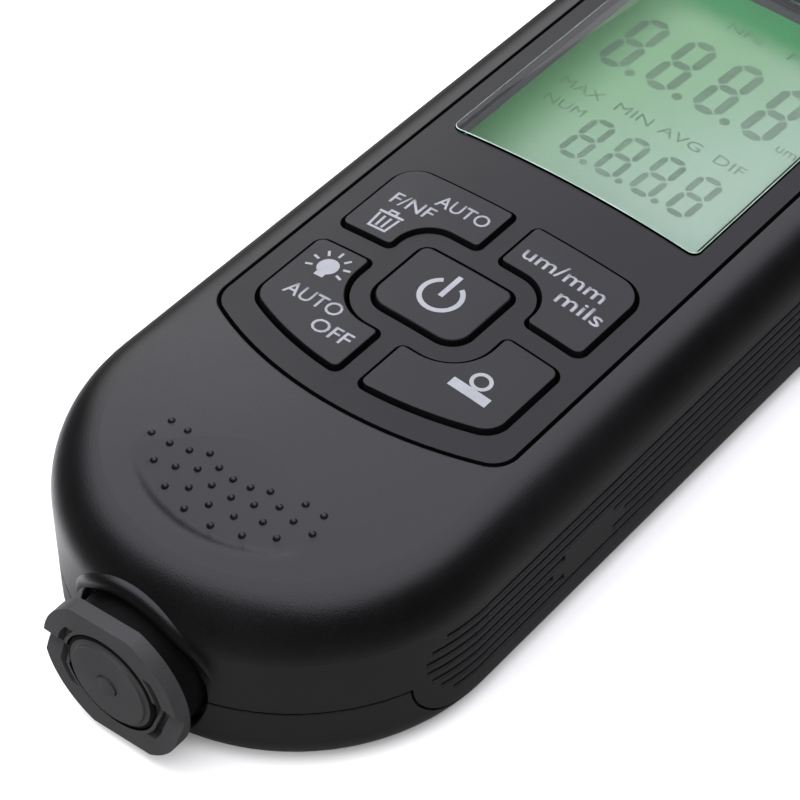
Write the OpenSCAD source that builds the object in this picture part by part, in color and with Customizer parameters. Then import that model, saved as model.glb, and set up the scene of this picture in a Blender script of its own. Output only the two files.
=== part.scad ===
// Coating thickness gauge: hand-held case with display, five keys and a sprung probe at one end.
// Millimetres, +Z up, lying on its back, probe pointing to -Y.

/* [Case] */
// width of the case
body_w = 57; // [56:0.5:60]
// height of the case at the middle of its crown
body_h = 27.2; // [26.8:0.2:29]
// length of the case without the probe
body_len = 145.5; // [141:0.5:153]
// rounding between top and side
top_r = 7.5; // [7:0.1:8]
// rounding between side and back
bottom_r = 4.4; // [4:0.1:5]
// radius of the crowned top
crown_r = 155; // [140:5:200]
// wall of the case
wall = 2.2; // [2:0.1:2.4]
// height of the seam between the case halves
seam_z = 10; // [9.8:0.1:10.4]
// open width of the seam
seam_gap = 0.3; // [0.2:0.05:0.4]
// how far the ribbed side tongues hang below the seam
tongue_drop = 6.6; // [6.3:0.1:6.8]

/* [Grip] */
// grooves on each side
groove_count = 7; // [5:1:7]
// distance between grooves
groove_pitch = 1.65; // [1.5:0.05:1.7]
// radius of a groove
groove_r = 0.5; // [0.4:0.05:0.6]
// length of the smooth pad between the grooves
pad_len = 14; // [10:1:18]
// radius of the thumb dish
dish_r = 17.3; // [16.5:0.1:17.8]
// depth of the thumb dish at its front edge
dish_depth = 1.1; // [0.9:0.1:1.4]
// radius of a raised dot in the dish
dot_r = 0.46; // [0.4:0.02:0.6]
// distance between the arcs of dots
dot_step = 2.06; // [1.9:0.02:2.1]

/* [Face] */
// rim of the case beside the face plate
rim = 6.5; // [6.3:0.1:6.8]
// groove round the face plate
panel_gap = 0.55; // [0.4:0.05:0.7]
// radius of the curved lower edge of the face plate
panel_low_r = 44; // [40:1:50]
// web between the window and the face plate's edge
window_web = 3.1; // [2.9:0.1:3.4]
// rise of the window above the face plate
lens_rise = 0.35; // [0.2:0.05:0.5]
// gap round the window
lens_gap = 0.12; // [0.08:0.02:0.2]

/* [Keys] */
// width of the power key's opening
power_w = 14.3; // [13.5:0.1:14.8]
// height of the power key's opening
power_h = 12.1; // [11.5:0.1:12.4]
// web between key openings
key_web = 3.05; // [2.8:0.05:3.2]
// gap round each key
key_gap = 0.6; // [0.5:0.02:0.7]
// rise of the keys above the face plate
key_rise = 0.5; // [0.4:0.1:0.9]
// travel of the keys
key_travel = 0.8; // [0.5:0.1:0.9]

/* [Probe] */
// height of the probe's axis
probe_z = 11; // [10.8:0.1:11.4]
// radius of the collar
collar_r = 10.3; // [10:0.1:10.6]
// radius of the sprung plunger
plunger_r = 6.67; // [6.4:0.01:6.9]
// sliding clearance of the plunger
plunger_fit = 0.08; // [0.04:0.01:0.1]
// travel of the plunger
plunger_travel = 2; // [1:0.1:2.2]
// half the opening of the V groove
v_half = 1.77; // [1.4:0.05:2]
// depth of the V groove
v_depth = 1.15; // [0.8:0.05:1.4]

/* [Battery] */
// diameter of a cell
cell_d = 10.4; // [10.2:0.1:10.5]
// length of a cell with its nub
cell_len = 44.5; // [44:0.1:44.5]
// gap round the battery door
door_gap = 0.3; // [0.25:0.05:0.4]

/* [Hidden] */
$fn = 64;
big = 60;
// by how much rounding arcs run past the edges they end on
lap = 0.01;
// how far the collar stands out of the case, and the plunger out of the collar
collar_out = 3.8;
disc_out = 0.05;
step_out = 0.5;
tip_out = 0.7;
probe_out = collar_out + disc_out + step_out + tip_out;
half_w = body_w / 2;
overall = body_len + probe_out;
y_front = -overall / 2 + probe_out;
y_back = overall / 2;
// centres of the round ends
y0f = y_front + half_w;
y0b = y_back - half_w;

// face plate, laid out about the middle of the power key
kp_y = y0f + 26.475;
panel_half = half_w - rim;
panel_y1 = kp_y - 21.7;
panel_low_cy = panel_y1 + panel_low_r;
panel_low_corner = 4;
panel_top_corner = 7;
panel_y2 = y0b + 16.5;
plate_z = body_h - 4.8;
ledge_w = 2.2;
ledge_t = 1.5;
window_half = panel_half - window_web;
window_y1 = kp_y + 26;
window_y2 = panel_y2 - 4.2;
window_corner = 1.2;
window_top_corner = 3.6;
lens_ledge = 0.9;
lens_ledge_t = 2.4;

// keys
key_in = key_web / 2;
key_out = panel_half - 3.5;
key_top = 17;
key_up = 3;
key_down = key_up - key_web - 0.15;
key_low_r = panel_low_r - 4.2;
key_low_cy = panel_low_cy - kp_y;
power_r = 1.5;
power_low_r = 3.2;
key_corner = 0.9;
key_big_corner = 3.6;
flange_w = 0.9;
flange_t = 1;
flange_drop = 0.2;
stem_r = 2.6;
pill_r = 2.2;
pill_t = 0.7;
stem_x = 11;
stem_up = 12.2;
stem_down = -10.5;

// battery bay
cell_r = cell_d / 2;
cell_fit = 0.3;
cell_z = 2.4 + cell_r;
spring_room = 5;
plate_room = 0.6;
contact_t = 0.4;
contact_w = cell_d - 1.6;
spring_r1 = 0.25 * cell_d;
spring_r2 = 0.385 * cell_d;
nub_r = 1.9;
nub_len = 1.1;
bay_wall = 1.2;
bay_half = cell_d + 1.5 * cell_fit;
bay_y1 = kp_y - 3.5;
bay_y2 = bay_y1 + cell_len + spring_room + plate_room;
bay_top = cell_z + cell_r + 0.6;
bay_roof = 0.8;
door_half = bay_half + 2.9;
door_y1 = bay_y1 - 3.5;
door_y2 = bay_y2 + 3;
door_t = wall - 0.4;
door_seat = 0.15;
tab_w = 5;
tab_x = 7;
hinge_y = door_y1 + door_gap + door_t / 2;
hinge_z = door_t / 2;

// boards and display
pcb_t = 1.6;
pcb_z = max(plate_z - 5.4 - pcb_t, bay_top + bay_roof + 0.3);
pcb_top = pcb_z + pcb_t;
pcb_half = panel_half - 2.7;
pcb_y1 = kp_y - 19.3;
pcb_y2 = y0b + 14.4;
pill_z = pcb_top + key_travel + 0.1;
glass_t = 1.7;
glass_z = plate_z + 0.95 - glass_t;
guide_t = glass_z - pcb_top;
glass_gap = 0.3;
glass_half = window_half - lens_ledge - glass_gap;
glass_y1 = window_y1 + lens_ledge + glass_gap;
glass_y2 = window_y2 - lens_ledge - glass_gap;
holder_t = 0.9;
holder_fit = 0.1;
holder_h = plate_z - pcb_top - 1;
strip_w = 2;
part_gap = 1.4;
buzzer_r = 4.2;
buzzer_x = -pcb_half + buzzer_r + 5;
socket_x = pcb_half - 12;
chip_x1 = buzzer_x + buzzer_r + part_gap;
chip_x2 = socket_x - part_gap;

// screws and posts
post_r = 2.6;
screw_r = 1.1;
head_r = 2.1;
head_z = 0.9;
head_t = 1.5;
screw_len = 12;
post_front = [half_w - 7, y0f + 4.4];
post_back = [half_w - wall - post_r - 0.5, y0b + 2];
pillar_r = 1.7;

// probe
recess_r = 9.7;
recess_depth = 3;
mouth_r = 11.4;
collar_y = y_front - collar_out;
collar_t = 2.05;
flat_z = 9.3;
flat_turn = 6;
neck_r = 8.9;
neck_fit = 0.1;
boss_r = 12.4;
boss_end = y_front + 9.5;
lip_y = y_front + 5.5;
lip_t = 1.5;
lip_r = 10.4;
tube_end = y_front + 13.5;
bore_r = plunger_r + plunger_fit;
pocket_r = 8.1;
pocket_in = bore_r + 0.45;
pocket_half = 5;
pocket_depth = 1.4;
disc_y = collar_y - disc_out;
cup_len = 7.8;
step_r = plunger_r - 1.13;
core_r = 1.4;
plug_t = 2;
stem_fit = 0.08;
clip_r = 3;
clip_t = 0.8;

// thumb dish
dish_cy = kp_y - 28.5;
dish_start = 3;
dish_y = dish_cy - dish_start;
dish_run = dish_r - dish_start;
dish_wall = 30;
floor_r = 90;
dish_turn = atan(dish_depth / dish_run - dish_run / 2 * (1 / floor_r - 1 / crown_r));
floor_turn = asin((y0f - dish_y) / crown_r) + dish_turn;
floor_y = dish_y + floor_r * sin(floor_turn);
floor_z = body_h - pow(y0f - dish_y, 2) / (2 * crown_r) - floor_r * cos(floor_turn);
dish_z = body_h - pow(y0f - dish_cy + dish_r, 2) / (2 * crown_r);
dot_r0 = 9.3;
dot_turn = 14.6;
dot_cy = kp_y - 27.8;
dot_sink = 0.12;

// rounded bit taken off a square corner: sx and sy point into the material
module corner_bit(x, y, sx, sy, r) {
    difference() {
        translate([min(x - sx, x + sx * r), min(y - sy, y + sy * r)])
            square(r + 1);
        translate([x + sx * r, y + sy * r])
            circle(r);
    }
}

// bit taken off between a straight edge x = w and the inside of an arc below it
module arc_bit(w, cy, arc, r) {
    cx = w - r + lap;
    y = cy - sqrt(pow(arc - r + lap, 2) - pow(cx, 2));
    ux = cx / (arc - r);
    uy = (y - cy) / (arc - r);
    difference() {
        polygon([[cx, y], [w + 2, y], [w + 2, y - r - 6], [cx + ux * (r + 6), y + uy * (r + 6)]]);
        translate([cx, y])
            circle(r);
    }
}

// right-hand corners of the case's cross-section
module section_bits(d) {
    zc = body_h - crown_r;
    cx = half_w - top_r + lap / 2;
    cz = zc + sqrt(pow(crown_r - top_r + lap / 2, 2) - pow(cx, 2));
    ux = cx / (crown_r - top_r);
    uz = (cz - zc) / (crown_r - top_r);
    bx = half_w - bottom_r;
    difference() {
        polygon([[cx, cz], [half_w + 2, cz], [half_w + 2, cz + 8], [cx + ux * 9, cz + uz * 9]]);
        translate([cx, cz])
            circle(top_r - d);
    }
    difference() {
        translate([bx, -2])
            square([bottom_r + 2, bottom_r + 2]);
        translate([bx, bottom_r])
            circle(bottom_r - d);
    }
}

// cross-section of the case, taken in by d all round
module section(d) {
    difference() {
        intersection() {
            translate([d - half_w, d])
                square([body_w - 2 * d, body_h]);
            translate([0, body_h - crown_r])
                circle(crown_r - d, $fn = 720);
        }
        section_bits(d);
        mirror([1, 0])
            section_bits(d);
    }
}

module half_section(d) {
    difference() {
        section(d);
        translate([-body_w, -1])
            square([body_w, body_h + 2]);
    }
}

// the whole outside of the case, taken in by d
module case_solid(d) {
    translate([0, y0b, 0])
        rotate([90, 0, 0])
            linear_extrude(y0b - y0f)
                section(d);
    translate([0, y0f, 0])
        rotate([0, 0, 180])
            rotate_extrude(angle = 180, $fn = 180)
                half_section(d);
    translate([0, y0b, 0])
        rotate_extrude(angle = 180, $fn = 180)
            half_section(d);
}

// side view of a tongue
tongue_past = 4.2;
module tongue_shape(g) {
    translate([y0f - tongue_past, seam_z])
        circle(tongue_drop + g);
    translate([y0b + tongue_past, seam_z])
        circle(tongue_drop + g);
    translate([y0f - tongue_past, seam_z - tongue_drop - g])
        square([y0b - y0f + 2 * tongue_past, tongue_drop + g + 0.5]);
}

// everything that belongs to the front half, let down by g
module front_side(g) {
    translate([-big, -2 * big, seam_z - g])
        cube([2 * big, 4 * big, big]);
    for (x = [-half_w - 2, half_w - 4.2])
        translate([x, 0, 0])
            rotate([90, 0, 90])
                linear_extrude(6.2)
                    tongue_shape(g);
}

// round bar along the probe's axis
module bar(y1, y2, r) {
    translate([0, y2, probe_z])
        rotate([90, 0, 0])
            cylinder(r = r, h = y2 - y1);
}

// cone along the probe's axis
module taper(y1, r1, y2, r2) {
    translate([0, y2, probe_z])
        rotate([90, 0, 0])
            cylinder(r1 = r2, r2 = r1, h = y2 - y1);
}

// outline of the face plate with square lower corners, taken in by d
module panel_shape(d) {
    w = panel_half - d;
    difference() {
        translate([-w, panel_y1 - 5])
            square([2 * w, panel_y2 - d - panel_y1 + 5]);
        difference() {
            translate([-w - 1, panel_y1 - 8])
                square([2 * w + 2, 17]);
            translate([0, panel_low_cy])
                circle(panel_low_r - d, $fn = 180);
        }
        for (s = [0, 1])
            mirror([s, 0])
                corner_bit(w, panel_y2 - d, -1, -1, panel_top_corner - d);
    }
}

// bits that round the lower corners of the face plate
module panel_bits(d) {
    for (s = [0, 1])
        mirror([s, 0, 0])
            linear_extrude(big)
                arc_bit(panel_half - d, panel_low_cy, panel_low_r - d, panel_low_corner - d);
}

// outline of the window, taken in by d
module window_shape(d) {
    w = window_half - d;
    difference() {
        translate([-w, window_y1 + d])
            square([2 * w, window_y2 - window_y1 - 2 * d]);
        for (s = [0, 1])
            mirror([s, 0]) {
                corner_bit(w, window_y1 + d, -1, 1, max(window_corner - d, 0.4));
                corner_bit(w, window_y2 - d, -1, -1, window_top_corner - d);
            }
    }
}

// outline of the power key's opening, taken in by d
module power_shape(d) {
    w = power_w / 2 - d;
    h = power_h / 2 - d;
    difference() {
        translate([-w, -h])
            square([2 * w, 2 * h]);
        for (s = [0, 1])
            mirror([s, 0]) {
                corner_bit(w, h, -1, -1, power_r - d);
                corner_bit(w, -h, -1, 1, power_low_r - d);
            }
    }
}

// outline of the right upper key's opening, taken in by d
module upper_shape(d) {
    difference() {
        translate([key_in + d, key_up + d])
            square([key_out - key_in - 2 * d, key_top - key_up - 2 * d]);
        power_shape(-key_web - d);
        corner_bit(key_out - d, key_top - d, -1, -1, key_big_corner - d);
        corner_bit(key_in + d, key_top - d, 1, -1, key_corner - d);
        corner_bit(key_out - d, key_up + d, -1, 1, key_corner + 0.5 - d);
        corner_bit(power_w / 2 + key_web + d, key_up + d, 1, 1, key_corner - d);
        corner_bit(key_in + d, power_h / 2 + key_web + d, 1, 1, key_corner - d);
    }
}

// outline of the right lower key's opening, taken in by d
module lower_shape(d) {
    difference() {
        intersection() {
            translate([key_in + d, -big])
                square([key_out - key_in - 2 * d, big + key_down - d]);
            translate([0, key_low_cy])
                circle(key_low_r - d, $fn = 180);
        }
        power_shape(-key_web - d);
        arc_bit(key_out - d, key_low_cy, key_low_r - d, key_big_corner - d);
        corner_bit(key_out - d, key_down - d, -1, -1, key_corner + 0.5 - d);
        corner_bit(power_w / 2 + key_web + d, key_down - d, 1, -1, key_corner - d);
        corner_bit(key_in + d, -power_h / 2 - key_web - d, 1, -1, key_corner - d);
    }
}

module key_shape(kind, d) {
    if (kind == "power")
        power_shape(d);
    if (kind == "unit")
        upper_shape(d);
    if (kind == "mode")
        mirror([1, 0])
            upper_shape(d);
    if (kind == "zero")
        lower_shape(d);
    if (kind == "light")
        mirror([1, 0])
            lower_shape(d);
}

function key_at(kind) = kind == "unit" ? [stem_x, stem_up]
    : kind == "mode" ? [-stem_x, stem_up]
    : kind == "zero" ? [stem_x, stem_down]
    : kind == "light" ? [-stem_x, stem_down] : [0, 0];

// one key: cap, flange under the face plate and stem
module key(kind) {
    flange_z = plate_z - flange_drop - flange_t;
    color([0.2, 0.2, 0.21])
        translate([0, kp_y, 0]) {
            intersection() {
                translate([0, 0, flange_z])
                    linear_extrude(20)
                        key_shape(kind, key_gap / 2);
                translate([0, big, body_h + key_rise - crown_r])
                    rotate([90, 0, 0])
                        cylinder(r = crown_r, h = 2 * big, $fn = 720);
            }
            translate([0, 0, flange_z])
                linear_extrude(flange_t)
                    key_shape(kind, -flange_w + 0.01);
            translate([key_at(kind)[0], key_at(kind)[1], pill_z + pill_t])
                cylinder(r = stem_r, h = flange_z - pill_z - pill_t + 0.5);
        }
}

// contact pill under a key
module pill(kind) {
    color([0.12, 0.12, 0.12])
        translate([key_at(kind)[0], kp_y + key_at(kind)[1], pill_z])
            cylinder(r = pill_r, h = pill_t);
}

// screw places
module at_posts() {
    for (p = [post_front, post_back], s = [-1, 1])
        translate([s * p[0], p[1], 0])
            children();
}

module at_pillars() {
    for (y = [pcb_y1 + 2.2, pcb_y2 - 2.6], s = [-1, 1])
        translate([s * (pcb_half - 2.5), y, 0])
            children();
}

// places of the side grooves in the cross-section
function groove_z(i) = 16.45 - groove_pitch * i;
function groove_x(i) = half_w + 0.1 - (groove_z(i) < bottom_r
    ? bottom_r - sqrt(pow(bottom_r, 2) - pow(bottom_r - groove_z(i), 2)) : 0);
function grooves(a, b) = [for (i = [a : b]) if (i < groove_count) i];

module notches(list) {
    for (i = list)
        translate([groove_x(i), groove_z(i)])
            circle(groove_r, $fn = 32);
}

// straight stretch of the case with the given grooves
module ribbed_run(y1, y2, list) {
    translate([0, y2, 0])
        rotate([90, 0, 0])
            linear_extrude(y2 - y1)
                difference() {
                    section(0);
                    notches(list);
                    mirror([1, 0])
                        notches(list);
                }
}

// outside of the case with its straight grooves and the smooth pads between them
module ribbed_solid() {
    y = kp_y - 7.1;
    a = pad_len / 2;
    ribbed_run(y0f, y - a, grooves(0, 6));
    ribbed_run(y - a, y - a + 2.2, concat(grooves(0, 3), grooves(5, 6)));
    ribbed_run(y - a + 2.2, y + a - 2.2, concat(grooves(0, 2), grooves(6, 6)));
    ribbed_run(y + a - 2.2, y + a, concat(grooves(0, 3), grooves(5, 6)));
    ribbed_run(y + a, y0b, grooves(0, 6));
    translate([0, y0f, 0])
        rotate([0, 0, 180])
            rotate_extrude(angle = 180, $fn = 180)
                half_section(0);
    translate([0, y0b, 0])
        rotate_extrude(angle = 180, $fn = 180)
            half_section(0);
}

// ends of the grooves, running out one after the other round the start of an end
groove_turn = [13.4, 17.4, 18.9, 18.7, 17.2, 14.7, 11.2];
module groove_ends() {
    for (i = grooves(0, 6), s = [0, 1])
        mirror([s, 0, 0])
            rotate([0, 0, -1])
                rotate_extrude(angle = groove_turn[i] + 1, $fn = 360)
                    translate([groove_x(i), groove_z(i)])
                        circle(groove_r - 0.06, $fn = 24);
}

// dots of the thumb dish, in four arcs
module dots() {
    for (row = [0 : 3]) {
        r = dot_r0 + dot_step * row;
        n = row == 0 ? 5 : row == 2 ? 9 : 8;
        for (i = [0 : n - 1]) {
            a = -90 + (i - (n - 1) / 2) * dot_turn;
            x = r * cos(a);
            y = dot_cy + r * sin(a);
            translate([x, y, dish_height(x, y) - dot_sink])
                sphere(dot_r, $fn = 24);
        }
    }
}

// height of the dish floor
function dish_height(x, y) = min(body_h - (x * x + pow(min(y - y0f, 0), 2)) / (2 * crown_r),
    floor_z + sqrt(pow(floor_r, 2) - pow(y - floor_y, 2)));

module dish() {
    difference() {
        translate([0, dish_cy, dish_z - 2])
            cylinder(r1 = dish_r - 2 / tan(dish_wall), r2 = dish_r + 4 / tan(dish_wall), h = 6, $fn = 120);
        translate([0, floor_y, floor_z])
            rotate([0, 90, 0])
                cylinder(r = floor_r, h = 2 * big, center = true, $fn = 720);
        translate([-big, dish_y + 1, 0])
            cube([2 * big, big, big]);
    }
}

module front_case() {
    color([0.24, 0.24, 0.25])
        difference() {
            union() {
                difference() {
                    intersection() {
                        ribbed_solid();
                        front_side(0);
                    }
                    translate([0, y0f, 0])
                        rotate([0, 0, 180])
                            groove_ends();
                    translate([0, y0b, 0])
                        groove_ends();
                    case_solid(wall);
                    dish();
                }
                intersection() {
                    case_solid(wall / 2);
                    union() {
                        translate([0, 0, plate_z - ledge_t])
                            linear_extrude(big)
                                panel_shape(-1.8);
                        translate([0, 0, seam_z])
                            at_posts()
                                cylinder(r = post_r, h = big);
                        intersection() {
                            bar(y_front - 1, boss_end, boss_r);
                            translate([-big, -2 * big, seam_z])
                                cube([2 * big, 4 * big, big]);
                        }
                    }
                }
                dots();
            }
            difference() {
                translate([0, 0, plate_z])
                    linear_extrude(big)
                        panel_shape(-panel_gap / 2);
                panel_bits(-panel_gap / 2);
            }
            translate([0, 0, 2])
                linear_extrude(big)
                    panel_shape(ledge_w);
            probe_cut();
            at_posts()
                cylinder(r = screw_r - 0.1, h = head_z + head_t + screw_len + 1);
        }
}

// space the probe needs in both case halves
module probe_cut() {
    bar(collar_y - probe_out, y_front + recess_depth, recess_r);
    taper(y_front - 1, mouth_r + 0.8, y_front + 1.6, recess_r - 0.1);
    bar(y_front, tube_end + 1, neck_r + neck_fit);
    bar(lip_y - neck_fit, lip_y + lip_t + neck_fit, lip_r + neck_fit);
}

module rear_case() {
    rim_z = door_t + door_seat;
    color([0.22, 0.22, 0.23])
        difference() {
            union() {
                difference() {
                    case_solid(0);
                    front_side(0);
                    difference() {
                        front_side(seam_gap);
                        case_solid(0.8);
                    }
                    case_solid(wall);
                }
                intersection() {
                    case_solid(wall / 2);
                    difference() {
                        union() {
                            bar(y_front - 1, boss_end, boss_r);
                            at_posts()
                                cylinder(r = post_r, h = seam_z);
                        }
                        translate([-big, -2 * big, seam_z])
                            cube([2 * big, 4 * big, big]);
                    }
                }
                at_pillars()
                    translate([0, 0, wall / 2])
                        cylinder(r = pillar_r, h = pcb_z - wall / 2);
                translate([-door_half - 2, door_y1 - 2, rim_z])
                    cube([2 * door_half + 4, door_y2 - door_y1 + 4, 1.5]);
                translate([-bay_half - bay_wall, bay_y1 - bay_wall, rim_z])
                    cube([2 * (bay_half + bay_wall), bay_y2 - bay_y1 + 2 * bay_wall, bay_top + bay_roof - rim_z]);
            }
            translate([-bay_half, bay_y1, -1])
                cube([2 * bay_half, bay_y2 - bay_y1, bay_top + 1]);
            translate([-door_half, door_y1, -1])
                cube([2 * door_half, door_y2 - door_y1, rim_z + 1]);
            for (s = [-1, 1])
                translate([s * tab_x - tab_w / 2 - door_gap, door_y1 - 4, wall + 0.01])
                    cube([tab_w + 2 * door_gap, bay_y1 - door_y1 + 4.1, 3]);
            for (s = [-1, 1])
                translate([s * tab_x - tab_w / 2 - door_gap, door_y1, 1])
                    cube([tab_w + 2 * door_gap, bay_y1 - door_y1 + 0.1, 3]);
            probe_cut();
            at_posts()
                cylinder(r = screw_r + 0.2, h = big);
            at_posts()
                translate([0, 0, -1])
                    cylinder(r = head_r + 0.25, h = head_z + head_t + 1);
        }
}

module face_plate() {
    color([0.22, 0.22, 0.23])
        difference() {
            intersection() {
                case_solid(0);
                translate([0, 0, plate_z])
                    linear_extrude(big)
                        panel_shape(panel_gap / 2);
            }
            panel_bits(panel_gap / 2);
            translate([0, kp_y, 0])
                linear_extrude(big)
                    for (k = ["power", "unit", "mode", "zero", "light"])
                        key_shape(k, -key_gap / 2);
            translate([0, 0, plate_z + lens_ledge_t])
                linear_extrude(big)
                    window_shape(-lens_gap);
            linear_extrude(big)
                window_shape(lens_ledge);
        }
}

module lcd_window() {
    color([0.8, 0.9, 0.85, 0.4])
        intersection() {
            translate([0, 0, lens_rise])
                case_solid(0);
            translate([0, 0, plate_z + lens_ledge_t])
                linear_extrude(big)
                    window_shape(0);
        }
}

module lcd_gasket() {
    color([0.06, 0.06, 0.06])
        translate([0, 0, pcb_top + holder_h])
            linear_extrude(plate_z - pcb_top - holder_h)
                difference() {
                    window_shape(-0.2);
                    window_shape(lens_ledge);
                }
}

module lcd_holder() {
    color([0.75, 0.75, 0.72])
        translate([0, 0, pcb_top])
            difference() {
                translate([-glass_half - holder_t - holder_fit, glass_y1 - holder_t - holder_fit, 0])
                    cube([2 * (glass_half + holder_t + holder_fit),
                        glass_y2 - glass_y1 + 2 * (holder_t + holder_fit), holder_h]);
                translate([-glass_half - holder_fit, glass_y1 - holder_fit, -1])
                    cube([2 * (glass_half + holder_fit), glass_y2 - glass_y1 + 2 * holder_fit, big]);
            }
}

module light_guide() {
    color([0.6, 0.85, 0.65])
        translate([-glass_half + 0.4, glass_y1 + strip_w + 0.3, pcb_top])
            cube([2 * glass_half - 0.8, glass_y2 - glass_y1 - 2 * strip_w - 2.6, guide_t]);
}

module lamp_diodes() {
    color([0.95, 0.95, 0.85])
        for (x = [-12, 0, 12])
            translate([x - 1.5, glass_y2 - strip_w - 2, pcb_top])
                cube([3, 1.2, 1.4]);
}

module contact_strips() {
    color([0.85, 0.5, 0.5])
        for (y = [glass_y1, glass_y2 - strip_w + 0.3])
            translate([-glass_half + strip_w, y, pcb_top])
                cube([2 * (glass_half - strip_w), strip_w - 0.3, guide_t]);
}

module lcd_glass() {
    color([0.65, 0.78, 0.7])
        translate([0, 0, glass_z])
            linear_extrude(glass_t)
                window_shape(lens_ledge + glass_gap);
}

module key_mode() {
    key("mode");
}

module key_light() {
    key("light");
}

module key_power() {
    key("power");
}

module key_unit() {
    key("unit");
}

module key_zero() {
    key("zero");
}

module pill_mode() {
    pill("mode");
}

module pill_light() {
    pill("light");
}

module pill_power() {
    pill("power");
}

module pill_unit() {
    pill("unit");
}

module pill_zero() {
    pill("zero");
}

module circuit_board() {
    color([0.1, 0.35, 0.2])
        translate([-pcb_half, pcb_y1, pcb_z])
            cube([2 * pcb_half, pcb_y2 - pcb_y1, pcb_t]);
}

module chips() {
    color([0.1, 0.1, 0.1]) {
        translate([chip_x1, pcb_y1 + 2, pcb_z - 1.3])
            cube([chip_x2 - chip_x1, 9, 1.3]);
        translate([-13, pcb_y2 - 12, pcb_z - 1.2])
            cube([8, 5, 1.2]);
        translate([4, pcb_y2 - 12, pcb_z - 1])
            cube([5, 4, 1]);
    }
}

module buzzer() {
    color([0.08, 0.08, 0.08])
        translate([buzzer_x, pcb_y1 + 6.5, pcb_z - 3.4])
            difference() {
                cylinder(r = buzzer_r, h = 3.4);
                translate([0, 0, -1])
                    cylinder(r = 0.9, h = 2);
            }
}

module probe_socket() {
    color([0.9, 0.88, 0.8])
        translate([socket_x, pcb_y1 + 3, pcb_z - 3.2])
            difference() {
                cube([7, 5, 3.2]);
                translate([0.8, -1, 0.7])
                    cube([5.4, 4, 1.8]);
            }
}

module battery_door() {
    color([0.22, 0.22, 0.23])
        difference() {
            union() {
                translate([-door_half + door_gap, hinge_y, 0])
                    cube([2 * (door_half - door_gap), door_y2 - door_gap - hinge_y, door_t]);
                translate([0, hinge_y, hinge_z])
                    rotate([0, 90, 0])
                        cylinder(r = door_t / 2, h = 2 * (door_half - door_gap), center = true);
                for (s = [-1, 1])
                    translate([s * tab_x - tab_w / 2, door_y1 + door_gap, 0.6])
                        cube([tab_w, 1.6, wall + 0.3 + 0.9 - 0.6]);
                for (s = [-1, 1])
                    translate([s * tab_x - tab_w / 2, door_y1 - 2, wall + 0.3])
                        cube([tab_w, 3.4, 0.9]);
            }
            for (i = [0 : 4])
                translate([0, door_y2 - 4 - 1.6 * i, -0.25])
                    rotate([0, 90, 0])
                        cylinder(r = 0.6, h = 14 - i, center = true, $fn = 32);
        }
}

// one cell along Y, nub to +Y
module cell() {
    translate([0, -cell_len / 2, 0])
        rotate([-90, 0, 0]) {
            cylinder(r = cell_r, h = cell_len - nub_len);
            cylinder(r = nub_r, h = cell_len);
        }
}

cell_y = bay_y1 + spring_room + cell_len / 2;
cell_y_turned = bay_y1 + plate_room + cell_len / 2;
cell_x = cell_r + cell_fit / 2;

module cell_left() {
    color([0.75, 0.7, 0.4])
        translate([-cell_x, cell_y, cell_z])
            cell();
}

module cell_right() {
    color([0.75, 0.7, 0.4])
        translate([cell_x, cell_y_turned, cell_z])
            rotate([0, 0, 180])
                cell();
}

// spring contact: plate against the bay's end and a sleeve up to the cell
module spring_contact() {
    translate([-contact_w / 2, 0, -contact_w / 2])
        cube([contact_w, contact_t, contact_w]);
    translate([0, spring_room, 0])
        rotate([90, 0, 0])
            difference() {
                cylinder(r1 = spring_r1, r2 = spring_r2, h = spring_room - contact_t / 2);
                translate([0, 0, -1])
                    cylinder(r = nub_r, h = spring_room + 2);
            }
}

module spring_contacts() {
    color([0.8, 0.8, 0.8]) {
        translate([-cell_x, bay_y1, cell_z])
            spring_contact();
        translate([cell_x, bay_y2, cell_z])
            mirror([0, 1, 0])
                spring_contact();
    }
}

module plate_contacts() {
    color([0.8, 0.8, 0.8]) {
        for (p = [[-cell_x, bay_y2 - plate_room], [cell_x, bay_y1]])
            translate([p[0] - contact_w / 2, p[1], cell_z - contact_w / 2])
                cube([contact_w, plate_room, contact_w]);
    }
}

module case_screws() {
    color([0.6, 0.6, 0.62])
        at_posts()
            translate([0, 0, head_z])
                difference() {
                    union() {
                        cylinder(r = head_r, h = head_t);
                        cylinder(r = screw_r - 0.1, h = head_t + screw_len);
                    }
                    translate([-1.4, -0.3, -1])
                        cube([2.8, 0.6, 1.8]);
                    translate([-0.3, -1.4, -1])
                        cube([0.6, 2.8, 1.8]);
                }
}

module probe_collar() {
    color([0.25, 0.25, 0.26])
        difference() {
            union() {
                intersection() {
                    bar(collar_y, collar_y + collar_t, collar_r);
                    translate([0, 0, probe_z])
                        rotate([0, -flat_turn, 0])
                            cube([4 * collar_r, 4 * big, 2 * flat_z], center = true);
                }
                bar(collar_y + 1, tube_end, neck_r);
                bar(lip_y, lip_y + lip_t, lip_r);
            }
            bar(collar_y - 1, tube_end + 1, bore_r);
            intersection() {
                difference() {
                    bar(collar_y - 1, collar_y + pocket_depth, pocket_r);
                    bar(collar_y - 2, collar_y + pocket_depth + 1, pocket_in);
                }
                translate([-big, collar_y - 5, probe_z - pocket_half])
                    cube([2 * big, 10, 2 * pocket_half]);
            }
            translate([-big, 0, probe_z])
                rotate([90, 0, 90])
                    linear_extrude(2 * big)
                        polygon([[collar_y + v_depth, 0], [collar_y - v_depth, 2 * v_half],
                            [collar_y - v_depth, -2 * v_half]]);
        }
}

module probe_plunger() {
    color([0.27, 0.27, 0.28])
        difference() {
            union() {
                bar(disc_y, disc_y + cup_len, plunger_r);
                bar(disc_y - step_out, disc_y + 1, step_r);
            }
            bar(disc_y + 1.6, disc_y + cup_len + 1, plunger_r - 1.1);
            bar(disc_y - 2, disc_y + 4, core_r);
        }
}

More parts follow.
